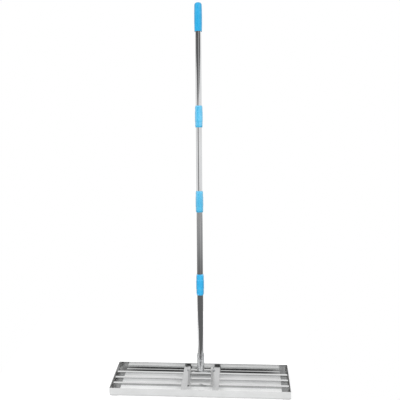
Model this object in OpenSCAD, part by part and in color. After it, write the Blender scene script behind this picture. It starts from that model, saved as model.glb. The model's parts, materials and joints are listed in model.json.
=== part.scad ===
// Lawn leveling rake: an open stainless head of bent angles and tube slats, and a four-piece
// screw-together pole that tilts on a cross bolt. Millimetres, +Z up, +X along the head.
// The origin is on the ground, under the middle of the head. The pole leans back towards +Y.

/* [Head frame] */
// Length of the head, end to end
head_w = 914; // [600:1:1200]
// Depth of the head, front to back
head_d = 254; // [220:1:340]
// Height of the frame's upright walls
wall_h = 43; // [38:1:60]
// Thickness of the bent sheet of the frame
sheet_t = 2; // [1.5:0.1:3]
// Width of the frame's ground legs
leg_w = 40; // [30:1:48]
// Inside radius of the frame's bends
bend_in_r = 3.5; // [0.5:0.1:4]
// Radius of the lower corners of the front and rear walls
corner_r = 12; // [4:1:18]

/* [Slats] */
// Width of a slat tube
slat_w = 15; // [12:1:20]
// Height of a slat tube
slat_h = 30; // [24:1:36]
// Wall of a slat tube
slat_wall = 1.2; // [1:0.1:2]
// Outside corner radius of a slat tube
slat_corner_r = 2.5; // [2.1:0.1:4]
// Distance between neighbouring slats, middle to middle
slat_pitch = 52; // [40:1:60]

/* [Cross straps and ears] */
// Width of a cross strap
strap_w = 32; // [24:1:50]
// Thickness of a cross strap
strap_t = 3; // [2:0.5:5]
// Inside radius of a strap's bends
strap_bend_r = 3; // [1:0.5:6]
// Distance between the two ears
ear_gap = 108; // [90:1:160]
// Thickness of an ear
ear_t = 10; // [3:0.5:12]
// Radius of an ear's round top
ear_r = 17; // [14:1:26]
// Width of an ear's foot
ear_foot = 112; // [60:1:116]
// Height of the pivot above the strap
ear_rise = 45; // [30:0.5:60]

/* [Pivot] */
// Diameter of the pivot bolt
bolt_d = 8; // [6:0.5:8]
// Width of the bolt's and nut's hexagon, across the flats
hex_af = 13; // [12:0.5:16]
// Height of the bolt's head
bolt_head_h = 5; // [4:0.5:8]
// Height of the nut's hexagon
nut_h = 6; // [5:0.5:10]
// Height of the nut's locking collar
nut_collar_h = 2; // [1:0.5:5]
// Length of bolt that shows past the nut
bolt_tail = 2; // [1:0.5:8]
// Diameter of the washers
washer_d = 16; // [14:1:22]
// Thickness of the washers
washer_t = 1.6; // [1:0.1:3]
// Diameter of the tube that turns on the bolt
pivot_tube_d = 12; // [12:0.5:20]
// Wall of the tube that turns on the bolt
pivot_tube_wall = 1; // [0.8:0.1:1.2]
// Length of a bush inside the tube
bush_l = 16; // [8:1:30]
// Thickness of a bush's flange
bush_flange_t = 2; // [1:0.5:4]

/* [Pole socket] */
// Outside diameter of the socket
socket_d = 37; // [36:0.5:44]
// Height of the socket's mouth above the pivot
socket_reach = 89; // [80:1:140]
// Height of the socket's cross bolt above the pivot
cross_bolt_reach = 57; // [40:1:70]
// Diameter of the cross bolt
cross_bolt_d = 6; // [5:0.5:8]
// Diameter of the cross bolt's button head
button_d = 11; // [10:0.5:14]
// Height of the cross bolt's button head
button_h = 3.5; // [2:0.5:5]
// Width of the hexagon key recess in the button head, across the flats
key_af = 4; // [3:0.5:5]
// Depth of the key recess
key_depth = 2; // [1:0.5:2.5]
// Width of the cross bolt's nut, across the flats
cross_nut_af = 10; // [10:0.5:14]
// Height of the cross bolt's nut
cross_nut_h = 5; // [4:0.5:8]

/* [Pole] */
// Lean of the pole, back from upright, as it stands
pole_lean = 10; // [0:1:30]
// Outside diameter of the pole's tubes
tube_d = 30; // [26:0.5:32]
// Wall of the pole's tubes
tube_wall = 1.2; // [0.8:0.1:2]
// Distance from the pivot to the first screw joint
first_joint = 454; // [300:1:600]
// Distance between screw joints
section_pitch = 427; // [300:1:600]
// Distance from the last screw joint to the tip of the grip
top_section = 557; // [400:1:700]

/* [Screw joints] */
// Diameter of the thread
thread_d = 16; // [12:0.5:18]
// Length of the threaded stud
stud_l = 34; // [25:1:45]
// Length of the plug that holds the stud
plug_l = 40; // [25:1:50]
// Length of the threaded insert
insert_l = 50; // [46:1:60]
// Thickness of the joint washer
joint_washer_t = 1.5; // [1:0.5:3]
// Length of a joint sleeve
sleeve_l = 108; // [80:1:140]
// Diameter of a sleeve at its ends
sleeve_d = 37.6; // [35:0.1:42]
// Extra radius of a sleeve's middle band
sleeve_swell = 0.9; // [0.2:0.1:2]
// Length of a sleeve's middle band
sleeve_band = 46; // [20:1:60]
// Length of the taper at a sleeve's ends
sleeve_taper = 8; // [2:0.5:12]
// Radius lost over that taper
sleeve_drop = 1.8; // [0.5:0.1:2]

/* [Grip] */
// Length of the grip
grip_l = 140; // [100:1:180]
// Diameter of the grip at its ends
grip_end_d = 37; // [35:0.5:42]
// Diameter of the grip at its middle
grip_mid_d = 39; // [37:0.5:46]
// Radius of the grip's rounded tip
grip_dome_r = 13; // [6:1:15]
// Thickness of the grip's closed tip
grip_tip_t = 6; // [4:0.5:12]

/* [Hidden] */
$fn = 64;

// Clearances and small sizes
overrun = 1;             // how far a cut runs past the face that it leaves
fit_gap = 0.1;           // glued and bolted fits, on the radius
run_gap = 0.05;          // bush on the pivot bolt, on the radius
slip_gap = 0.3;          // parts that slide past each other, and seats on round faces
seat_gap = 0.1;          // joint washer below the section that turns on it
side_play = 0.3;         // bush flange beside an ear
socket_gap = 0.4;        // pole in its socket, on the radius
side_bite = 0.1;         // how far an ear's straight sides cut into its round top
nut_bevel = 1;           // bevel of a hexagon's corners
thread_lead_in = 1.5;    // chamfer at a stud's tip
curve_steps = 12;        // steps along a curved outline
bend_out_r = bend_in_r + sheet_t;
strap_bend_out_r = strap_bend_r + strap_t;

// Places on the head
strap_top = slat_h + strap_t;
pivot_z = strap_top + ear_rise;
ear_x = ear_gap / 2;
ear_h = ear_rise + strap_t;
strap_x = ear_x + ear_t;
strap_foot_y = (head_d - leg_w + strap_t) / 2;
bolt_seat_x = ear_x + ear_t + washer_t;
nut_end_x = bolt_seat_x + nut_h + nut_collar_h;

// Places along the pole, measured from the pivot
tube_start = pivot_tube_d / 2 + slip_gap;
tube_in_d = tube_d - 2 * tube_wall;
socket_in_r = tube_d / 2 + socket_gap;
pole_tip = joint_at(3) + top_section;
tube_end = pole_tip - grip_tip_t;
bush_r = pivot_tube_d / 2 - pivot_tube_wall - fit_gap;
pivot_tube_l = ear_gap - 2 * (side_play + bush_flange_t);

steel = "#c8ccd1";
satin = "#b4b7ba";
zinc = "#9ea3a8";
nylon = "#e6e6e0";
blue = "#3fb2ec";

// Distance from the pivot to screw joint k, counted from the head
function joint_at(k) = first_joint + (k - 1) * section_pitch;

// Corner distance of a hexagon from its width across the flats
function hex_r(flats) = flats / 2 / cos(30);

// Sets its children on the leaning pole, at a distance from the pivot
module on_pole(reach) {
    translate([0, 0, pivot_z]) rotate([-pole_lean, 0, 0]) translate([0, 0, reach]) children();
}

// Turns a Z-axis shape to lie along +X
module along_x() {
    rotate([0, 90, 0]) children();
}

module ring(out_r, in_r, h) {
    difference() {
        cylinder(r = out_r, h = h);
        translate([0, 0, -overrun]) cylinder(r = in_r, h = h + 2 * overrun);
    }
}

module rounded_rect(w, h, r) {
    translate([r, 0]) square([w - 2 * r, h]);
    translate([0, r]) square([w, h - 2 * r]);
    for (x = [r, w - r], y = [r, h - r]) translate([x, y]) circle(r);
}

// Quarter ring of a bend, in the corner between a wall along +Y and a leg along +X
module bend(out_r, in_r) {
    translate([out_r, out_r]) intersection() {
        difference() {
            circle(out_r);
            circle(in_r);
        }
        translate([-out_r, -out_r]) square(out_r);
    }
}

// Section of a bent angle: ground leg along +X and wall along +Y
module angle_section() {
    bend(bend_out_r, bend_in_r);
    translate([0, bend_out_r]) square([sheet_t, wall_h - bend_out_r]);
    translate([bend_out_r, 0]) square([leg_w - bend_out_r, sheet_t]);
}

// Bent angle that runs along +Y from the origin, with its leg towards +X
module bent_angle(length) {
    translate([0, length, 0]) rotate([90, 0, 0]) linear_extrude(length) angle_section();
}

// Long angle with its wall at the front. The leg stops short of the end angles' legs, and
// the wall's lower corners are rounded there.
module long_angle() {
    leg_l = head_w - 2 * leg_w;
    translate([leg_l / 2, -head_d / 2, 0]) rotate([0, 0, 90]) bent_angle(leg_l);
    for (side = [0, 1]) mirror([side, 0, 0])
        translate([leg_l / 2, sheet_t - head_d / 2, 0]) rotate([90, 0, 0]) linear_extrude(sheet_t) {
            square([leg_w - corner_r, wall_h]);
            translate([0, corner_r]) square([leg_w, wall_h - corner_r]);
            translate([leg_w - corner_r, corner_r]) circle(corner_r);
        }
}

module front_angle() {
    color(steel) long_angle();
}

module rear_angle() {
    color(steel) rotate([0, 0, 180]) long_angle();
}

module left_end_angle() {
    inner_d = head_d - 2 * sheet_t;
    color(steel) translate([-head_w / 2, -inner_d / 2, 0]) bent_angle(inner_d);
}

module right_end_angle() {
    color(steel) rotate([0, 0, 180]) left_end_angle();
}

// Tube slat, its ends coped to sit over the legs of the end angles
module slat(row) {
    slat_l = head_w - 2 * (sheet_t + bend_in_r);
    cope_x = head_w / 2 - leg_w - slip_gap;
    color(steel) translate([0, row * slat_pitch, 0]) difference() {
        translate([-slat_l / 2, 0, 0]) rotate([90, 0, 90]) linear_extrude(slat_l)
            translate([-slat_w / 2, 0]) difference() {
                rounded_rect(slat_w, slat_h, slat_corner_r);
                translate([slat_wall, slat_wall])
                    rounded_rect(slat_w - 2 * slat_wall, slat_h - 2 * slat_wall, slat_corner_r - slat_wall);
            }
        for (side = [0, 1]) mirror([side, 0, 0])
            translate([cope_x, -slat_w / 2 - overrun, -overrun])
                cube([leg_w, slat_w + 2 * overrun, sheet_t + overrun]);
    }
}

module front_slat() {
    slat(-1);
}

module middle_slat() {
    slat(0);
}

module rear_slat() {
    slat(1);
}

// Half of a strap's side view: the flat over the slats and the foot on a ground leg
module strap_half() {
    translate([strap_foot_y, strap_top]) rotate(180) bend(strap_bend_out_r, strap_bend_r);
    translate([0, slat_h]) square([strap_foot_y - strap_bend_out_r, strap_t]);
    translate([strap_foot_y - strap_t, sheet_t]) square([strap_t, strap_top - strap_bend_out_r - sheet_t]);
}

// Strap that bridges the slats and stands on the legs of the long angles
module right_strap() {
    color(satin) translate([strap_x, 0, 0]) rotate([90, 0, 90]) linear_extrude(strap_w) {
        strap_half();
        mirror([1, 0]) strap_half();
    }
}

module left_strap() {
    mirror([1, 0, 0]) right_strap();
}

// Ear's side view: straight sides run from the foot into the round top
module ear_outline() {
    half = ear_foot / 2;
    touch_r = ear_r - side_bite;
    turn = acos(touch_r / norm([half, ear_h])) - atan2(ear_h, half);
    touch_x = touch_r * cos(turn);
    touch_z = ear_h + touch_r * sin(turn);
    translate([0, ear_h]) circle(ear_r);
    polygon([[-half, 0], [half, 0], [touch_x, touch_z], [-touch_x, touch_z]]);
}

// Ear that stands across the slats, against the strap's inner edge
module right_ear() {
    color(satin) translate([ear_x, 0, slat_h]) rotate([90, 0, 90]) difference() {
        linear_extrude(ear_t) ear_outline();
        translate([0, ear_h, -overrun]) cylinder(d = bolt_d + 2 * fit_gap, h = ear_t + 2 * overrun);
    }
}

module left_ear() {
    mirror([1, 0, 0]) right_ear();
}

// Hexagon prism with its outer corners bevelled on the +Z end
module hex_prism(flats, h) {
    corner = hex_r(flats);
    intersection() {
        cylinder(r = corner, h = h, $fn = 6);
        union() {
            cylinder(r = corner, h = h - nut_bevel);
            translate([0, 0, h - nut_bevel]) cylinder(r1 = corner, r2 = corner - 2 * nut_bevel, h = nut_bevel);
        }
    }
}

module pivot_bolt() {
    color(zinc) translate([0, 0, pivot_z]) {
        translate([-bolt_seat_x, 0, 0]) along_x() cylinder(d = bolt_d, h = bolt_seat_x + nut_end_x + bolt_tail);
        translate([-bolt_seat_x, 0, 0]) mirror([1, 0, 0]) along_x() hex_prism(hex_af, bolt_head_h);
    }
}

module pivot_nut() {
    color(zinc) translate([bolt_seat_x, 0, pivot_z]) along_x() difference() {
        union() {
            hex_prism(hex_af, nut_h);
            cylinder(r = hex_af / 2 - nut_bevel, h = nut_h + nut_collar_h);
        }
        translate([0, 0, -overrun]) cylinder(r = bolt_d / 2 + fit_gap, h = nut_h + nut_collar_h + 2 * overrun);
    }
}

module pivot_washers() {
    color(zinc) for (side = [0, 1]) mirror([side, 0, 0])
        translate([ear_x + ear_t, 0, pivot_z]) along_x() ring(washer_d / 2, bolt_d / 2 + fit_gap, washer_t);
}

// Flanged bush, pressed into the end of the pivot tube
module right_bush() {
    color(nylon) translate([pivot_tube_l / 2 - bush_l, 0, pivot_z]) along_x() difference() {
        union() {
            cylinder(r = bush_r, h = bush_l);
            translate([0, 0, bush_l]) cylinder(d = pivot_tube_d, h = bush_flange_t);
        }
        translate([0, 0, -overrun])
            cylinder(r = bolt_d / 2 + run_gap, h = bush_l + bush_flange_t + 2 * overrun);
    }
}

module left_bush() {
    mirror([1, 0, 0]) right_bush();
}

module pivot_tube() {
    color(steel) translate([-pivot_tube_l / 2, 0, pivot_z]) along_x()
        ring(pivot_tube_d / 2, pivot_tube_d / 2 - pivot_tube_wall, pivot_tube_l);
}

// Hole for the cross bolt, along the pole's own Y axis
module cross_hole() {
    translate([0, 0, cross_bolt_reach]) rotate([90, 0, 0])
        cylinder(r = cross_bolt_d / 2 + fit_gap, h = socket_d + 2 * overrun, center = true);
}

// Socket, its foot cut to saddle the pivot tube
module pole_socket() {
    color(steel) on_pole(0) difference() {
        ring(socket_d / 2, socket_in_r, socket_reach);
        translate([-socket_d, 0, 0]) along_x() cylinder(d = pivot_tube_d, h = 2 * socket_d);
        cross_hole();
    }
}

// Button head: a low dome on the bolt, with a hexagon recess for its key
module button_head() {
    dome_r = (pow(button_d / 2, 2) + pow(button_h, 2)) / (2 * button_h);
    difference() {
        intersection() {
            cylinder(d = button_d, h = button_h);
            translate([0, 0, button_h - dome_r]) sphere(dome_r);
        }
        translate([0, 0, button_h - key_depth]) cylinder(r = hex_r(key_af), h = key_depth + overrun, $fn = 6);
    }
}

module socket_bolt() {
    bolt_l = socket_d + cross_nut_h;
    color(zinc) on_pole(cross_bolt_reach) translate([0, -socket_d / 2, 0]) rotate([90, 0, 0]) {
        button_head();
        translate([0, 0, -bolt_l]) cylinder(d = cross_bolt_d, h = bolt_l);
    }
}

module socket_nut() {
    color(zinc) on_pole(cross_bolt_reach) translate([0, socket_d / 2, 0]) rotate([-90, 0, 0]) difference() {
        hex_prism(cross_nut_af, cross_nut_h);
        translate([0, 0, -overrun]) cylinder(r = cross_bolt_d / 2 + fit_gap, h = cross_nut_h + 2 * overrun);
    }
}

// Tube of the pole's section k, counted from the head
module pole_tube(k) {
    start = k == 1 ? tube_start : joint_at(k - 1) + joint_washer_t + seat_gap;
    end = k == 4 ? tube_end : joint_at(k);
    color(steel) on_pole(0) difference() {
        translate([0, 0, start]) ring(tube_d / 2, tube_in_d / 2, end - start);
        if (k == 1) cross_hole();
    }
}

// Threaded insert in the upper end of section k
module thread_insert(k) {
    color(nylon) on_pole(joint_at(k) - insert_l)
        ring(tube_in_d / 2 - fit_gap, thread_d / 2 + slip_gap, insert_l);
}

// Plug in the lower end of the section above joint k, with the stud that screws into the insert
module thread_stud(k) {
    tip_r = thread_d / 2 - thread_lead_in;
    plug_start = joint_washer_t + seat_gap;
    color(zinc) on_pole(joint_at(k)) {
        translate([0, 0, plug_start]) cylinder(r = tube_in_d / 2 - fit_gap, h = plug_l);
        translate([0, 0, thread_lead_in - stud_l])
            cylinder(d = thread_d, h = stud_l - thread_lead_in + plug_start);
        translate([0, 0, -stud_l]) cylinder(r1 = tip_r, r2 = thread_d / 2, h = thread_lead_in);
    }
}

module joint_washer(k) {
    color(nylon) on_pole(joint_at(k)) ring(tube_d / 2 - slip_gap, thread_d / 2 + slip_gap, joint_washer_t);
}

// Sleeve over joint k, glued to the tube below it: tapered ends and a fuller middle band
module joint_sleeve(k) {
    in_r = tube_d / 2 + slip_gap;
    end_r = sleeve_d / 2;
    lip_r = end_r - sleeve_drop;
    band_r = end_r + sleeve_swell;
    half = sleeve_l / 2;
    band = sleeve_band / 2;
    slope = 2 * sleeve_swell;
    color(blue) on_pole(joint_at(k)) rotate_extrude() polygon([
        [in_r, -half], [lip_r, -half], [end_r, sleeve_taper - half],
        [end_r, -band - slope], [band_r, -band], [band_r, band], [end_r, band + slope],
        [end_r, half - sleeve_taper], [lip_r, half], [in_r, half]]);
}

// Grip with a crowned side and a closed round tip
module hand_grip() {
    in_r = tube_d / 2 + fit_gap;
    side_l = grip_l - grip_dome_r;
    end_r = grip_end_d / 2;
    crown = (grip_mid_d - grip_end_d) / 2;
    bore_l = grip_l - grip_tip_t;
    side = [for (i = [0 : curve_steps]) [end_r + crown * sin(180 * i / curve_steps), side_l * i / curve_steps]];
    dome = [for (i = [1 : curve_steps]) let (turn = 90 * i / curve_steps)
        [end_r - grip_dome_r * (1 - cos(turn)), side_l + grip_dome_r * sin(turn)]];
    color(blue) on_pole(pole_tip - grip_l) rotate_extrude()
        polygon(concat([[in_r, 0]], side, dome, [[0, grip_l], [0, bore_l], [in_r, bore_l]]));
}

front_angle();
rear_angle();
left_end_angle();
right_end_angle();
front_slat();
middle_slat();
rear_slat();
left_strap();
right_strap();
left_ear();
right_ear();
pivot_bolt();
pivot_nut();
pivot_washers();
left_bush();
right_bush();
pivot_tube();
pole_socket();
socket_bolt();
socket_nut();
pole_tube(1);  // pole_tube_1
pole_tube(2);  // pole_tube_2
pole_tube(3);  // pole_tube_3
pole_tube(4);  // pole_tube_4
thread_insert(1);  // thread_insert_1
thread_insert(2);  // thread_insert_2
thread_insert(3);  // thread_insert_3
thread_stud(1);  // thread_stud_1
thread_stud(2);  // thread_stud_2
thread_stud(3);  // thread_stud_3
joint_washer(1);  // joint_washer_1
joint_washer(2);  // joint_washer_2
joint_washer(3);  // joint_washer_3
joint_sleeve(1);  // joint_sleeve_1
joint_sleeve(2);  // joint_sleeve_2
joint_sleeve(3);  // joint_sleeve_3
hand_grip();
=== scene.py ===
"""Looks of the lawn leveling rake: finishes, welds, threads, studio and camera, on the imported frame."""
import json
import math

import bmesh
import bpy
from mathutils import Matrix, Vector


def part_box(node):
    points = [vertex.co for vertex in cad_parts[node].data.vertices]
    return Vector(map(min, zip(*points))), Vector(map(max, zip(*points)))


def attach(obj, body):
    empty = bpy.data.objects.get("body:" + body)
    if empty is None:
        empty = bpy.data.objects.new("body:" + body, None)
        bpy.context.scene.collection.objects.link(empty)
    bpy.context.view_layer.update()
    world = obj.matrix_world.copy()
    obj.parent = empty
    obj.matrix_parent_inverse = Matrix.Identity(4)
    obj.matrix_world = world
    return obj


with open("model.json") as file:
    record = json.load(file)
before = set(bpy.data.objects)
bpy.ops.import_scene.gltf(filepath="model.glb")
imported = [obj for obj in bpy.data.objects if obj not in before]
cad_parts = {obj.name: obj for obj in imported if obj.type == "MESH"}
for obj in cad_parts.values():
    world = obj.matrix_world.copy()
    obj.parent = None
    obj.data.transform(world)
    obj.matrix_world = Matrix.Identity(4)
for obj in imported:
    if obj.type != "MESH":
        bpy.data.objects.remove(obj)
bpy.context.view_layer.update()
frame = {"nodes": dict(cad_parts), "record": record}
nodes = frame["nodes"]

MM = 0.001

# Camera that was fitted to the head's corners and the pole's joints, for an image 400 pixels wide
CAMERA_AT = (0.2195, -2.6633, 1.7115)
CAMERA_YAW = math.radians(-4.40)
CAMERA_PITCH = math.radians(15.013)
CAMERA_ROLL = math.radians(1.196)
FOCAL_PX = 577.2
IMAGE_PX = 400
SENSOR_MM = 36

# Sizes of the part that aren't taken from its nodes' boxes
POLE_LEAN = math.radians(10)
POLE_AXIS = Vector((0, math.sin(POLE_LEAN), math.cos(POLE_LEAN)))
SHEET_T = 2 * MM
BOLT_R = 4 * MM
STUD_R = 8 * MM
STUD_L = 34 * MM
STUD_PITCH = 4 * MM

# Names and signs that loops go through
SLATS = ("front_slat", "middle_slat", "rear_slat")
STUD_BODIES = ("second_section", "third_section", "top_section")
SIDES = (-1, 1)


# Materials

# Noise keeps near 0.5, so colour and roughness are spread over this part of its range
NOISE_LOW = 0.3
NOISE_HIGH = 0.7
RELIEF_H = 0.2 * MM
SMUDGE_DETAIL = 4
LINE_SCALE = 60
LINE_DETAIL = 3
MOTTLE_SCALE = 25
MOTTLE_DETAIL = 5
SKIN_DETAIL = 4
COAT_ROUGHNESS = 0.08
COAT_IOR = 2.0


def shader(name):
    """A new material, its node tree and its main shader."""
    material = bpy.data.materials.new(name)
    material.use_nodes = True
    tree = material.node_tree
    return material, tree, tree.nodes["Principled BSDF"]


def grain(tree, scale, detail, stretch=(1, 1, 1), turn=(0, 0, 0)):
    """Noise over the object's own coordinates, turned and then stretched."""
    coords = tree.nodes.new("ShaderNodeTexCoord")
    turned = tree.nodes.new("ShaderNodeMapping")
    turned.inputs["Rotation"].default_value = turn
    stretched = tree.nodes.new("ShaderNodeMapping")
    stretched.inputs["Scale"].default_value = stretch
    noise = tree.nodes.new("ShaderNodeTexNoise")
    noise.inputs["Scale"].default_value = scale
    noise.inputs["Detail"].default_value = detail
    tree.links.new(coords.outputs["Object"], turned.inputs["Vector"])
    tree.links.new(turned.outputs["Vector"], stretched.inputs["Vector"])
    tree.links.new(stretched.outputs["Vector"], noise.inputs["Vector"])
    return noise.outputs["Fac"]


def spread(tree, value, low, high):
    """Noise spread over a range of values."""
    node = tree.nodes.new("ShaderNodeMapRange")
    node.inputs["From Min"].default_value = NOISE_LOW
    node.inputs["From Max"].default_value = NOISE_HIGH
    node.inputs["To Min"].default_value = low
    node.inputs["To Max"].default_value = high
    tree.links.new(value, node.inputs["Value"])
    return node.outputs["Result"]


def tint(tree, value, dark, light):
    """Noise as a colour between two others."""
    ramp = tree.nodes.new("ShaderNodeValToRGB")
    low, high = ramp.color_ramp.elements
    low.position = NOISE_LOW
    low.color = (*dark, 1)
    high.position = NOISE_HIGH
    high.color = (*light, 1)
    tree.links.new(value, ramp.inputs["Fac"])
    return ramp.outputs["Color"]


def relief(tree, bsdf, value, strength):
    """Noise as fine relief of the surface."""
    bump = tree.nodes.new("ShaderNodeBump")
    bump.inputs["Strength"].default_value = strength
    bump.inputs["Distance"].default_value = RELIEF_H
    tree.links.new(value, bump.inputs["Height"])
    tree.links.new(bump.outputs["Normal"], bsdf.inputs["Normal"])


def metal(name, dark, light, rough, smudge_scale, line_stretch, line_depth, turn=(0, 0, 0)):
    """Metal with soft smudges in its colour and fine lines in its polish."""
    material, tree, bsdf = shader(name)
    bsdf.inputs["Metallic"].default_value = 1
    smudge = grain(tree, smudge_scale, SMUDGE_DETAIL)
    lines = grain(tree, LINE_SCALE, LINE_DETAIL, line_stretch, turn)
    tree.links.new(tint(tree, smudge, dark, light), bsdf.inputs["Base Color"])
    tree.links.new(spread(tree, lines, *rough), bsdf.inputs["Roughness"])
    relief(tree, bsdf, lines, line_depth)
    return material


def plastic(name, dark, light, rough, skin_scale, skin_depth, gloss=0):
    """Moulded plastic with a slight mottle, a fine skin and any gloss over it."""
    material, tree, bsdf = shader(name)
    mottle = grain(tree, MOTTLE_SCALE, MOTTLE_DETAIL)
    skin = grain(tree, skin_scale, SKIN_DETAIL)
    tree.links.new(tint(tree, mottle, dark, light), bsdf.inputs["Base Color"])
    tree.links.new(spread(tree, mottle, *rough), bsdf.inputs["Roughness"])
    relief(tree, bsdf, skin, skin_depth)
    bsdf.inputs["Coat Weight"].default_value = gloss
    bsdf.inputs["Coat Roughness"].default_value = COAT_ROUGHNESS
    bsdf.inputs["Coat IOR"].default_value = COAT_IOR
    return material


POLE_TURN = (POLE_LEAN, 0, 0)
METALS = {
    "polished_steel": dict(dark=(0.695, 0.70, 0.70), light=(0.755, 0.76, 0.76), rough=(0.04, 0.09),
                           smudge_scale=8, line_stretch=(0.5, 12, 12), line_depth=0.02),
    "polished_tube": dict(dark=(0.692, 0.697, 0.705), light=(0.752, 0.757, 0.765), rough=(0.05, 0.10),
                          smudge_scale=8, line_stretch=(2, 2, 30), line_depth=0.02, turn=POLE_TURN),
    # A rougher mill finish, whose colour is darkened below the other steel as painted shade at the head's
    # ends
    "mill_steel_painted_shade": dict(dark=(0.415, 0.416, 0.416), light=(0.60, 0.602, 0.602), rough=(0.07, 0.15),
                       smudge_scale=150, line_stretch=(12, 0.5, 12), line_depth=0.03),
    "drawn_tube": dict(dark=(0.60, 0.61, 0.62), light=(0.69, 0.70, 0.71), rough=(0.14, 0.24),
                       smudge_scale=20, line_stretch=(30, 2, 2), line_depth=0.05, turn=POLE_TURN),
    "satin_steel": dict(dark=(0.57, 0.573, 0.575), light=(0.70, 0.703, 0.705), rough=(0.30, 0.45),
                        smudge_scale=260, line_stretch=(14, 1, 14), line_depth=0.15),
    "fastener_steel": dict(dark=(0.52, 0.53, 0.55), light=(0.66, 0.67, 0.68), rough=(0.20, 0.36),
                           smudge_scale=60, line_stretch=(6, 6, 6), line_depth=0.1),
    "weld_steel": dict(dark=(0.50, 0.48, 0.45), light=(0.70, 0.70, 0.70), rough=(0.20, 0.40),
                       smudge_scale=120, line_stretch=(8, 8, 8), line_depth=0.2),
}
BLUE_SKIN = dict(rough=(0.20, 0.36), skin_scale=700, skin_depth=0.10)
PLASTICS = {
    "nylon": dict(dark=(0.74, 0.74, 0.70), light=(0.86, 0.86, 0.82), rough=(0.40, 0.55),
                  skin_scale=900, skin_depth=0.15),
    "blue_plastic": dict(dark=(0.008, 0.36, 0.69), light=(0.018, 0.43, 0.79), gloss=0.2, **BLUE_SKIN),
    "mid_blue_plastic": dict(dark=(0.026, 0.48, 0.93), light=(0.042, 0.57, 1.00), gloss=0.8, **BLUE_SKIN),
    "pale_blue_plastic": dict(dark=(0.045, 0.49, 0.82), light=(0.075, 0.58, 0.92), gloss=1, **BLUE_SKIN),
}
FINISHES = {name: metal(name, **look) for name, look in METALS.items()}
FINISHES.update({name: plastic(name, **look) for name, look in PLASTICS.items()})

# Finishes of the nodes that don't look like the rest of their slot
OWN_FINISH = {"pole_socket": "drawn_tube", "joint_sleeve_1": "mid_blue_plastic"}
OWN_FINISH.update({f"joint_sleeve_{number}": "pale_blue_plastic" for number in (2, 3)})
OWN_FINISH.update({f"pole_tube_{number}": "polished_tube" for number in (1, 2, 3, 4)})
# The end angles' darker colour is painted shade
OWN_FINISH.update({f"{side}_end_angle": "mill_steel_painted_shade" for side in ("left", "right")})


def dress(obj, material):
    """Gives an object one material in place of any that it has."""
    obj.data.materials.clear()
    obj.data.materials.append(material)


for part in frame["record"]["subparts"]:
    finish = OWN_FINISH.get(part["node"], part["material_slot"])
    dress(nodes[part["node"]], FINISHES[finish])


# Welds and threads

# A weld bead's ripple length, its radius between ripples and its radius at an end, as shares of its full
# radius, and the steps in a ripple and in an end
RIPPLE_L_SHARE = 1.6
RIPPLE_LOW_SHARE = 0.86
BEAD_END_SHARE = 0.4
RIPPLE_STEPS = 5
BEAD_END_STEPS = 4
BEAD_SIDES = 10

# A thread ridge's radius as a share of the pitch, and the steps in a turn and in its fade at an end
RIDGE_SHARE = 0.22
TURN_STEPS = 40
FADE_STEPS = 12
RIDGE_SIDES = 8


def resample(points, step):
    """A polyline's points, set out again at even steps."""
    points = [Vector(p) for p in points]
    spaced = [points[0]]
    for a, b in zip(points, points[1:]):
        count = max(1, round((b - a).length / step))
        spaced += [a.lerp(b, i / count) for i in range(1, count + 1)]
    return spaced


def sweep(mesh, path, radii, sides):
    """A round bead along a path, one radius for each point, with closed ends."""
    rings = []
    side = None
    for i, point in enumerate(path):
        ahead = (path[min(i + 1, len(path) - 1)] - path[max(i - 1, 0)]).normalized()
        if side is None:
            side = ahead.orthogonal().normalized()
        side = (side - ahead * side.dot(ahead)).normalized()
        up = ahead.cross(side)
        ring = []
        for s in range(sides):
            turn = 2 * math.pi * s / sides
            ring.append(mesh.verts.new(point + radii[i] * (math.cos(turn) * side + math.sin(turn) * up)))
        rings.append(ring)
    for a, b in zip(rings, rings[1:]):
        for s in range(sides):
            t = (s + 1) % sides
            mesh.faces.new((a[s], a[t], b[t], b[s]))
    mesh.faces.new(rings[0][::-1])
    mesh.faces.new(rings[-1])


def piece(name, mesh, body, finish):
    """A mesh as a smooth piece that rides on a body."""
    data = bpy.data.meshes.new(name)
    bmesh.ops.recalc_face_normals(mesh, faces=mesh.faces)
    mesh.to_mesh(data)
    mesh.free()
    data.shade_smooth()
    obj = bpy.data.objects.new(name, data)
    bpy.context.collection.objects.link(obj)
    dress(obj, FINISHES[finish])
    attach(obj, body)


def steps_to_end(i, path):
    """Steps from a point of a path to just past its nearer end."""
    return 1 + min(i, len(path) - 1 - i)


def weld(name, seams, radius, body):
    """Rippled weld beads along seams, as one piece."""
    ripple_l = RIPPLE_L_SHARE * radius
    step = ripple_l / RIPPLE_STEPS
    mesh = bmesh.new()
    for seam in seams:
        path = resample(seam, step)
        radii = []
        for i in range(len(path)):
            ripple = abs(math.sin(math.pi * i * step / ripple_l))
            swell = RIPPLE_LOW_SHARE + (1 - RIPPLE_LOW_SHARE) * ripple
            grown = min(1, steps_to_end(i, path) / BEAD_END_STEPS)
            radii.append(radius * swell * (BEAD_END_SHARE + (1 - BEAD_END_SHARE) * grown))
        sweep(mesh, path, radii, BEAD_SIDES)
    piece(name, mesh, body, "weld_steel")


def helix(start, axis, across, radius, length, pitch):
    """Points of a helix about an axis."""
    other = axis.cross(across)
    count = round(TURN_STEPS * length / pitch)
    points = []
    for i in range(count + 1):
        turn = 2 * math.pi * i / TURN_STEPS
        along = axis * (pitch * i / TURN_STEPS)
        points.append(start + along + radius * (math.cos(turn) * across + math.sin(turn) * other))
    return points


def thread(name, start, axis, across, crest_r, length, pitch, body):
    """A round-crested thread ridge on a bolt or stud."""
    ridge = RIDGE_SHARE * pitch
    path = helix(start, axis, across, crest_r - ridge, length, pitch)
    radii = [ridge * min(1, steps_to_end(i, path) / FADE_STEPS) for i in range(len(path))]
    mesh = bmesh.new()
    sweep(mesh, path, radii, RIDGE_SIDES)
    piece(name, mesh, body, "fastener_steel")


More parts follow.
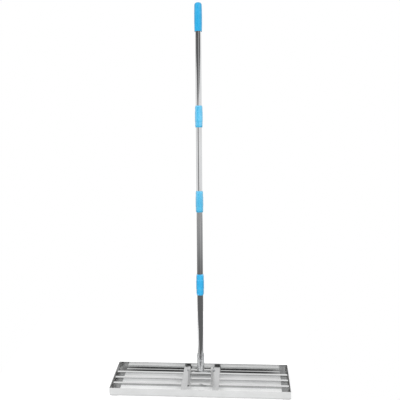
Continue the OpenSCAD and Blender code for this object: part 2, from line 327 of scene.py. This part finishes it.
# Places and sizes taken from the nodes' boxes
pivot_low, pivot_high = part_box("pivot_tube")
pivot = Vector((0, 0, (pivot_low[2] + pivot_high[2]) / 2))
pivot_r = (pivot_high[2] - pivot_low[2]) / 2
front_low, front_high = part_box("front_angle")
half_w = front_high[0]
half_d = -front_low[1]
wall_h = front_high[2]
slat_boxes = [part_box(name) for name in SLATS]
slat_rows = [(low[1] + high[1]) / 2 for low, high in slat_boxes]
slat_pitch = slat_rows[1] - slat_rows[0]
slat_low, slat_high = slat_boxes[0]
slat_w = slat_high[1] - slat_low[1]
slat_h = slat_high[2]
strap_low, strap_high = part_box("right_strap")
strap_in = strap_low[0]
strap_out = strap_high[0]
strap_foot = strap_high[1]
strap_top = strap_high[2]
ear_low, ear_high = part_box("right_ear")
ear_in = ear_low[0]
ear_half = ear_high[1]

# Welds between the socket's foot and the pivot tube
SOCKET_BEAD_R = 1.8 * MM
SADDLE_STEPS = 40


def saddle(side):
    """The seam down one side of the pivot tube, where the socket's foot sits over it."""
    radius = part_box("pole_socket")[1][0]
    across = Vector((side, 0, 0))
    back = Vector((0, math.cos(POLE_LEAN), -math.sin(POLE_LEAN)))
    reach = math.asin(pivot_r / radius)
    points = []
    for i in range(SADDLE_STEPS + 1):
        turn = reach * (2 * i / SADDLE_STEPS - 1)
        depth = radius * math.sin(turn)
        rise = math.sqrt(max(0, pivot_r ** 2 - depth ** 2))
        points.append(pivot + radius * math.cos(turn) * across + depth * back + rise * POLE_AXIS)
    return points


weld("socket_welds", [saddle(side) for side in SIDES], SOCKET_BEAD_R, "lower_handle")

# Welds of the ears to the straps and slats, and of the straps to the ground legs and slats
EAR_BEAD_R = 1.8 * MM
EAR_BEAD_INSET = 2 * MM
STRAP_BEAD_R = 1.5 * MM


def slat_top_seams(x):
    """Short seams on the tops of the slats, at one place along the head."""
    reach = slat_w / 3
    return [[(x, row - reach, slat_h), (x, row + reach, slat_h)] for row in slat_rows]


ear_seams = []
strap_seams = []
for side in SIDES:
    x = side * strap_in
    y = ear_half - EAR_BEAD_INSET
    ear_seams.append([(x, -y, strap_top), (x, y, strap_top)])
    ear_seams += slat_top_seams(side * ear_in)
    for end in SIDES:
        y = end * strap_foot
        strap_seams.append([(side * strap_in, y, SHEET_T), (side * strap_out, y, SHEET_T)])
    strap_seams += slat_top_seams(side * strap_in) + slat_top_seams(side * strap_out)
weld("ear_welds", ear_seams, EAR_BEAD_R, "head")
weld("strap_welds", strap_seams, STRAP_BEAD_R, "head")

# Upright welds at the slats' ends and in the head's corners, with how far they stay from edges
SLAT_BEAD_R = 1.4 * MM
SLAT_BEAD_INSET = 0.5 * MM
SLAT_BEAD_LOW = 1 * MM
SLAT_BEAD_TOP = 2 * MM
CORNER_BEAD_R = 1.4 * MM
CORNER_BEAD_LOW = 2 * MM
CORNER_BEAD_TOP = 1 * MM

slat_seams = []
corner_seams = []
for side in SIDES:
    x = side * (half_w - SHEET_T - SLAT_BEAD_INSET)
    for row in slat_rows:
        for edge in SIDES:
            y = row + edge * slat_w / 2
            slat_seams.append([(x, y, SHEET_T + SLAT_BEAD_LOW), (x, y, slat_h - SLAT_BEAD_TOP)])
    x = side * (half_w - SHEET_T)
    for end in SIDES:
        y = end * (half_d - SHEET_T)
        corner_seams.append([(x, y, SHEET_T + CORNER_BEAD_LOW), (x, y, wall_h - CORNER_BEAD_TOP)])
weld("slat_end_welds", slat_seams, SLAT_BEAD_R, "head")
weld("corner_welds", corner_seams, CORNER_BEAD_R, "head")

# The bolt's tail, which shows past the nut: its thread starts inside the nut and stops short of the tip
BOLT_CREST = 0.05 * MM
BOLT_PITCH = 1.25 * MM
THREAD_IN_NUT = 1 * MM
THREAD_TO_TIP = 0.6 * MM

bolt_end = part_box("pivot_bolt")[1][0]
nut_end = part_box("pivot_nut")[1][0]
tail_from = nut_end - THREAD_IN_NUT
tail_l = bolt_end - THREAD_TO_TIP - tail_from
thread("pivot_bolt_thread", Vector((tail_from, 0, pivot.z)), Vector((1, 0, 0)), Vector((0, 1, 0)),
       BOLT_R + BOLT_CREST, tail_l, BOLT_PITCH, "head")

# The nylon ring in the locking nut's collar
RING_GAP = 0.2 * MM
RING_W = 0.9 * MM
RING_SUNK = 0.4 * MM
RING_PROUD = 0.15 * MM
RING_BEVEL = 0.1 * MM
RING_STEPS = 48


def lock_ring():
    """The locking nut's ring, which just shows at the nut's end."""
    inner = BOLT_R + RING_GAP
    outer = inner + RING_W
    low = nut_end - RING_SUNK
    high = nut_end + RING_PROUD
    profile = [(inner, low), (inner, high), (outer - RING_BEVEL, high), (outer, low)]
    mesh = bmesh.new()
    loops = []
    for i in range(RING_STEPS):
        turn = 2 * math.pi * i / RING_STEPS
        y = math.cos(turn)
        z = math.sin(turn)
        loops.append([mesh.verts.new((x, r * y, pivot.z + r * z)) for r, x in profile])
    for a, b in zip(loops, loops[1:] + loops[:1]):
        for i, corner in enumerate(a):
            mesh.faces.new((corner, a[i - 1], b[i - 1], b[i]))
    piece("nut_lock_ring", mesh, "head", "nylon")


lock_ring()

# The studs, which show when a section is unscrewed
STUD_CREST = 0.2 * MM
STUD_END = 1 * MM

for number, body in enumerate(STUD_BODIES, 1):
    washer_low, washer_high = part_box(f"joint_washer_{number}")
    seat = Vector((0, (washer_low[1] + washer_high[1]) / 2, (washer_low[2] + washer_high[2]) / 2))
    tip = seat - POLE_AXIS * (STUD_L - STUD_END)
    thread(f"stud_thread_{number}", tip, POLE_AXIS, Vector((1, 0, 0)), STUD_R + STUD_CREST,
           STUD_L - 2 * STUD_END, STUD_PITCH, body)


# Studio

def mix_shader(tree, factor, a, b):
    """One shader that turns into another as a factor goes from 0 to 1."""
    node = tree.nodes.new("ShaderNodeMixShader")
    tree.links.new(factor, node.inputs["Fac"])
    tree.links.new(a, node.inputs[1])
    tree.links.new(b, node.inputs[2])
    return node.outputs["Shader"]


def maths(tree, operation, a, b=None):
    """The result of an operation on one or two values, each a number or another node's output."""
    node = tree.nodes.new("ShaderNodeMath")
    node.operation = operation
    for value, socket in zip((a, b), node.inputs):
        if isinstance(value, (int, float)):
            socket.default_value = value
        elif value is not None:
            tree.links.new(value, socket)
    return node.outputs["Value"]


def one_less(tree, value):
    """What a value leaves of 1."""
    return maths(tree, "SUBTRACT", 1, value)


def ramp_up(tree, value, low, high):
    """A smooth step from 0 at one value to 1 at another."""
    node = tree.nodes.new("ShaderNodeMapRange")
    node.interpolation_type = "SMOOTHSTEP"
    node.inputs["From Min"].default_value = low
    node.inputs["From Max"].default_value = high
    tree.links.new(value, node.inputs["Value"])
    return node.outputs["Result"]


def band(tree, value, rise, fall):
    """A smooth step up from 0 to 1, and another back down to 0."""
    return maths(tree, "SUBTRACT", ramp_up(tree, value, *rise), ramp_up(tree, value, *fall))


def on_ramp(tree, value):
    """A value from -1 to 1 as a place on a colour ramp, from 0 to 1."""
    return maths(tree, "MULTIPLY", maths(tree, "ADD", value, 1), 0.5)


def look_up(tree, place, table):
    """A level from a table of values from -1 to 1 with their levels, at a place on a colour ramp."""
    ramp = tree.nodes.new("ShaderNodeValToRGB")
    stops = ramp.color_ramp.elements
    for i, (value, level) in enumerate(table):
        stop = stops[i] if i < 2 else stops.new(1)
        stop.position = (value + 1) / 2
        stop.color = (level, level, level, 1)
    tree.links.new(place, ramp.inputs["Fac"])
    return ramp.outputs["Color"]


def ray_kinds(tree):
    """1 for rays that are seen, straight or through something clear, and 1 for rays mirrored by a surface."""
    path = tree.nodes.new("ShaderNodeLightPath")
    seen = maths(tree, "MAXIMUM", path.outputs["Is Camera Ray"], path.outputs["Is Transmission Ray"])
    return seen, path.outputs["Is Glossy Ray"]


# The room that polished metal mirrors. Its tables go by the sine of the height, and what they hold sinks
# towards the back, where it lies lower by twice this value. Turns are in half turns from the front, to the
# left where nothing else is said
SINK = 0.19
LEAST_ACROSS = 0.001

# Light on the walls, with the lower part that the shade shares, and what the wall at the back left loses,
# from nothing at one turn to all of it at the next
LOW_LEVELS = [(-0.30, 0.15), (-0.10, 0.15), (-0.04, 0.165), (0.00, 0.27), (0.03, 0.37), (0.085, 0.42)]
WALL_LEVELS = LOW_LEVELS + [(0.105, 0.95), (1.00, 0.95)]
LEFT_LOSSES = [(-0.10, 0.00), (0.00, 0.30), (0.40, 0.40), (0.50, 0.00), (1.00, 0.00)]
LEFT_LOSS_TURNS = (0.60, 0.72)

# Light in the shade on the camera's side, the turn of its middle, its half width and how soft its edge is
SHADE_LEVELS = LOW_LEVELS + [(0.105, 0.23), (0.21, 0.23), (0.27, 0.20), (0.29, 0.155), (0.37, 0.11),
                             (0.45, 0.05), (0.60, 0.05), (0.70, 0.20), (0.82, 0.90), (1.00, 0.95)]
SHADE_MIDDLES = [(0.10, 0.15), (0.21, 0.15), (0.24, 0.18), (0.252, 0.17), (0.286, 0.05), (0.318, 0.034),
                 (0.35, 0.06), (0.40, 0.06), (0.43, 0.0255), (1.00, 0.0255)]
SHADE_HALVES = [(0.10, 0.105), (0.21, 0.105), (0.24, 0.11), (0.252, 0.125), (0.286, 0.30), (0.318, 0.366),
                (0.35, 0.50), (0.40, 0.50), (0.43, 0.048), (1.00, 0.048)]
SHADE_SOFTS = [(0.10, 0.03), (0.40, 0.03), (0.43, 0.008), (1.00, 0.008)]

# A streak that takes shade away and a low one that adds light, each with its turn to the right and with
# how far from there its fade starts and ends
STREAK_TURN = 0.065
STREAK_FADE = (0.021, 0.063)
STREAK_LIGHTS = [(0.00, 0.70), (0.40, 0.70), (0.43, 0.00), (1.00, 0.00)]
LOW_STREAK_TURN = 0.165
LOW_STREAK_FADE = (0.05, 0.10)
LOW_STREAK_GAINS = [(-0.07, 0.00), (-0.04, 0.45), (0.04, 0.45), (0.07, 0.00), (1.00, 0.00)]

# Even light of the room, for rays that nothing mirrors
ROOM_LIGHT = 0.50


def room_direction(tree):
    """The turn to the left of a direction in the room, and the place of its height on a colour ramp."""
    coords = tree.nodes.new("ShaderNodeTexCoord")
    parts = tree.nodes.new("ShaderNodeSeparateXYZ")
    tree.links.new(coords.outputs["Generated"], parts.inputs["Vector"])
    x, y, z = parts.outputs
    front = maths(tree, "MULTIPLY", y, -1)
    squares = maths(tree, "ADD", maths(tree, "MULTIPLY", x, x), maths(tree, "MULTIPLY", y, y))
    across = maths(tree, "MAXIMUM", maths(tree, "SQRT", squares), LEAST_ACROSS)
    backness = one_less(tree, maths(tree, "DIVIDE", front, across))
    sunk = maths(tree, "ADD", z, maths(tree, "MULTIPLY", backness, SINK))
    left = maths(tree, "DIVIDE", maths(tree, "ARCTAN2", x, front), -math.pi)
    return left, on_ramp(tree, sunk)


def streak(tree, left, turn, fade):
    """1 about a turn to the right of the front, and 0 away from it."""
    off = maths(tree, "ABSOLUTE", maths(tree, "ADD", left, turn))
    return one_less(tree, ramp_up(tree, off, *fade))


def room_light(tree):
    """Pale walls above a grey horizon, and the shade on the camera's side with its streaks."""
    left, height = room_direction(tree)
    aside = maths(tree, "ABSOLUTE", maths(tree, "SUBTRACT", left, look_up(tree, height, SHADE_MIDDLES)))
    inside = maths(tree, "SUBTRACT", look_up(tree, height, SHADE_HALVES), aside)
    past_edge = maths(tree, "DIVIDE", inside, look_up(tree, height, SHADE_SOFTS))
    lit = maths(tree, "MULTIPLY", streak(tree, left, STREAK_TURN, STREAK_FADE),
                look_up(tree, height, STREAK_LIGHTS))
    shade = maths(tree, "MULTIPLY", ramp_up(tree, past_edge, -1, 1), one_less(tree, lit))
    loss = maths(tree, "MULTIPLY", ramp_up(tree, left, *LEFT_LOSS_TURNS), look_up(tree, height, LEFT_LOSSES))
    wall = maths(tree, "MULTIPLY", look_up(tree, height, WALL_LEVELS), one_less(tree, loss))
    change = maths(tree, "SUBTRACT", look_up(tree, height, SHADE_LEVELS), wall)
    level = maths(tree, "ADD", wall, maths(tree, "MULTIPLY", shade, change))
    gain = maths(tree, "MULTIPLY", streak(tree, left, LOW_STREAK_TURN, LOW_STREAK_FADE),
                 look_up(tree, height, LOW_STREAK_GAINS))
    return maths(tree, "MULTIPLY", level, maths(tree, "ADD", gain, 1))


def background(tree, strength, colour=None):
    """A background shader, white where no colour is given."""
    node = tree.nodes.new("ShaderNodeBackground")
    node.inputs["Color"].default_value = (1, 1, 1, 1)
    node.inputs["Strength"].default_value = strength
    if colour is not None:
        tree.links.new(colour, node.inputs["Color"])
    return node.outputs["Background"]


def make_world():
    """White to the camera, a studio room to polished metal, and even light to the rest."""
    world = bpy.data.worlds.new("studio")
    bpy.context.scene.world = world
    world.use_nodes = True
    tree = world.node_tree
    tree.nodes.clear()
    seen, mirrored = ray_kinds(tree)
    room = mix_shader(tree, mirrored, background(tree, ROOM_LIGHT), background(tree, 1, room_light(tree)))
    output = tree.nodes.new("ShaderNodeOutputWorld")
    tree.links.new(mix_shader(tree, seen, room, background(tree, 1)), output.inputs["Surface"])


# The floor is a pale sheet just under the rake, and polished metal mirrors its edges
FLOOR_FRONT = -0.50
FLOOR_BACK = 0.85
FLOOR_LEFT = -1.10
FLOOR_RIGHT = 0.60
FLOOR_DROP = 0.5 * MM
PAPER_DARK = (0.84, 0.84, 0.84)
PAPER_LIGHT = (0.88, 0.88, 0.88)
PAPER_SCALE = 40
PAPER_DETAIL = 4
PAPER_ROUGHNESS = 0.9

# Its glow where it is seen, and its glow in metal by depth, which is painted light, with the painted light
# that it gains to the left of the ears
FLOOR_GLOW = 0.44
PAINTED_GLOW_BY_DEPTH = [(-0.14, 0.20), (-0.11, 0.35), (0.11, 0.34), (0.15, 0.00), (1.00, 0.00)]
PAINTED_LEFT_LIGHT_REACH = (-0.20, -0.08)
PAINTED_LEFT_LIGHT_GAINS = [(-0.12, 0.00), (-0.09, 0.25), (0.11, 0.25), (0.15, 0.00), (1.00, 0.00)]

# Shades that take away the glow in metal: one under the front angle, from its front edge to its back one,
# and one between the ears, with its edges across the head, at the front and at the back
CONTACT_FRONT = (-0.143, -0.130)
CONTACT_BACK = (-0.095, -0.087)
EARS_EDGE = (0.050, 0.062)
EARS_FRONT = (-0.09, 0.02)
EARS_BACK = (0.048, 0.060)

# Between the ears the shade is full just behind each slat. It fades between these shares of the slats'
# pitch, and the rest of the bay keeps this share of it
SLAT_SHADE_SHARES = (0.12, 0.36)
BAY_SHADE_SHARE = 0.30


def painted_glow_in_metal(tree):
    """The floor's glow as metal mirrors it: painted light, with the painted shades."""
    coords = tree.nodes.new("ShaderNodeTexCoord")
    parts = tree.nodes.new("ShaderNodeSeparateXYZ")
    tree.links.new(coords.outputs["Object"], parts.inputs["Vector"])
    x, y, _ = parts.outputs
    depth = on_ramp(tree, y)
    # Painted light: more glow in metal to the left of the ears
    on_left = one_less(tree, ramp_up(tree, x, *PAINTED_LEFT_LIGHT_REACH))
    gain = maths(tree, "MULTIPLY", on_left, look_up(tree, depth, PAINTED_LEFT_LIGHT_GAINS))
    glow = maths(tree, "MULTIPLY", look_up(tree, depth, PAINTED_GLOW_BY_DEPTH), maths(tree, "ADD", gain, 1))
    # Painted shades in that glow: under the front angle, and between the ears behind each slat
    past_front = one_less(tree, band(tree, y, CONTACT_FRONT, CONTACT_BACK))
    inward = one_less(tree, ramp_up(tree, maths(tree, "ABSOLUTE", x), *EARS_EDGE))
    between_ears = maths(tree, "MULTIPLY", inward, band(tree, y, EARS_FRONT, EARS_BACK))
    rows_back = maths(tree, "DIVIDE", maths(tree, "SUBTRACT", y, slat_w / 2), slat_pitch)
    off_slat = ramp_up(tree, maths(tree, "FRACT", rows_back), *SLAT_SHADE_SHARES)
    bay_shade = one_less(tree, maths(tree, "MULTIPLY", off_slat, 1 - BAY_SHADE_SHARE))
    past_ears = one_less(tree, maths(tree, "MULTIPLY", between_ears, bay_shade))
    return maths(tree, "MULTIPLY", glow, maths(tree, "MULTIPLY", past_front, past_ears))


def floor_paper():
    """The floor's pale paper, with a glow that brings it up to white and another, of painted light and shade,
    that metal mirrors.
    """
    material, tree, bsdf = shader("floor_paper")
    speckle = grain(tree, PAPER_SCALE, PAPER_DETAIL)
    tree.links.new(tint(tree, speckle, PAPER_DARK, PAPER_LIGHT), bsdf.inputs["Base Color"])
    bsdf.inputs["Roughness"].default_value = PAPER_ROUGHNESS
    bsdf.inputs["Specular IOR Level"].default_value = 0
    bsdf.inputs["Emission Color"].default_value = (1, 1, 1, 1)
    seen, mirrored = ray_kinds(tree)
    glow = maths(tree, "MAXIMUM", maths(tree, "MULTIPLY", seen, FLOOR_GLOW),
                 maths(tree, "MULTIPLY", mirrored, painted_glow_in_metal(tree)))
    tree.links.new(glow, bsdf.inputs["Emission Strength"])
    return material


def make_floor():
    """A sheet of paper under the rake."""
    corners = [(FLOOR_LEFT, FLOOR_FRONT), (FLOOR_RIGHT, FLOOR_FRONT), (FLOOR_RIGHT, FLOOR_BACK),
               (FLOOR_LEFT, FLOOR_BACK)]
    mesh = bmesh.new()
    mesh.faces.new([mesh.verts.new((x, y, -FLOOR_DROP)) for x, y in corners])
    data = bpy.data.meshes.new("floor")
    mesh.to_mesh(data)
    mesh.free()
    data.materials.append(floor_paper())
    floor = bpy.data.objects.new("floor", data)
    bpy.context.collection.objects.link(floor)


# Each lamp's place, width and power, and the point near the middle of the pole that both aim at
LAMPS = {"key_lamp": ((-1.8, -2.2, 2.8), 2.0, 62), "fill_lamp": ((2.4, -1.6, 2.4), 2.4, 44)}
LAMP_AIM = Vector((0, 0.1, 0.8))


def make_lamps():
    """Two broad soft lamps that don't show in metal."""
    for name, (place, width, power) in LAMPS.items():
        light = bpy.data.lights.new(name, "AREA")
        light.size = width
        light.energy = power
        lamp = bpy.data.objects.new(name, light)
        lamp.location = place
        lamp.rotation_euler = (LAMP_AIM - Vector(place)).to_track_quat("-Z", "Y").to_euler()
        lamp.visible_glossy = False
        bpy.context.collection.objects.link(lamp)


def make_camera():
    """The photograph's viewpoint."""
    level = Vector((math.sin(CAMERA_YAW), math.cos(CAMERA_YAW), 0))
    ahead = level * math.cos(CAMERA_PITCH) - Vector((0, 0, math.sin(CAMERA_PITCH)))
    right = Vector((math.cos(CAMERA_YAW), -math.sin(CAMERA_YAW), 0))
    down = ahead.cross(right)
    rolled_right = right * math.cos(CAMERA_ROLL) + down * math.sin(CAMERA_ROLL)
    rolled_up = right * math.sin(CAMERA_ROLL) - down * math.cos(CAMERA_ROLL)
    data = bpy.data.cameras.new("camera")
    data.sensor_width = SENSOR_MM
    data.lens = SENSOR_MM * FOCAL_PX / IMAGE_PX
    camera = bpy.data.objects.new("camera", data)
    axes = Matrix((rolled_right, rolled_up, -ahead)).transposed()
    camera.matrix_world = Matrix.Translation(CAMERA_AT) @ axes.to_4x4()
    bpy.context.collection.objects.link(camera)
    bpy.context.scene.camera = camera


make_world()
make_floor()
make_lamps()
make_camera()
bpy.context.scene.view_settings.view_transform = "Standard"
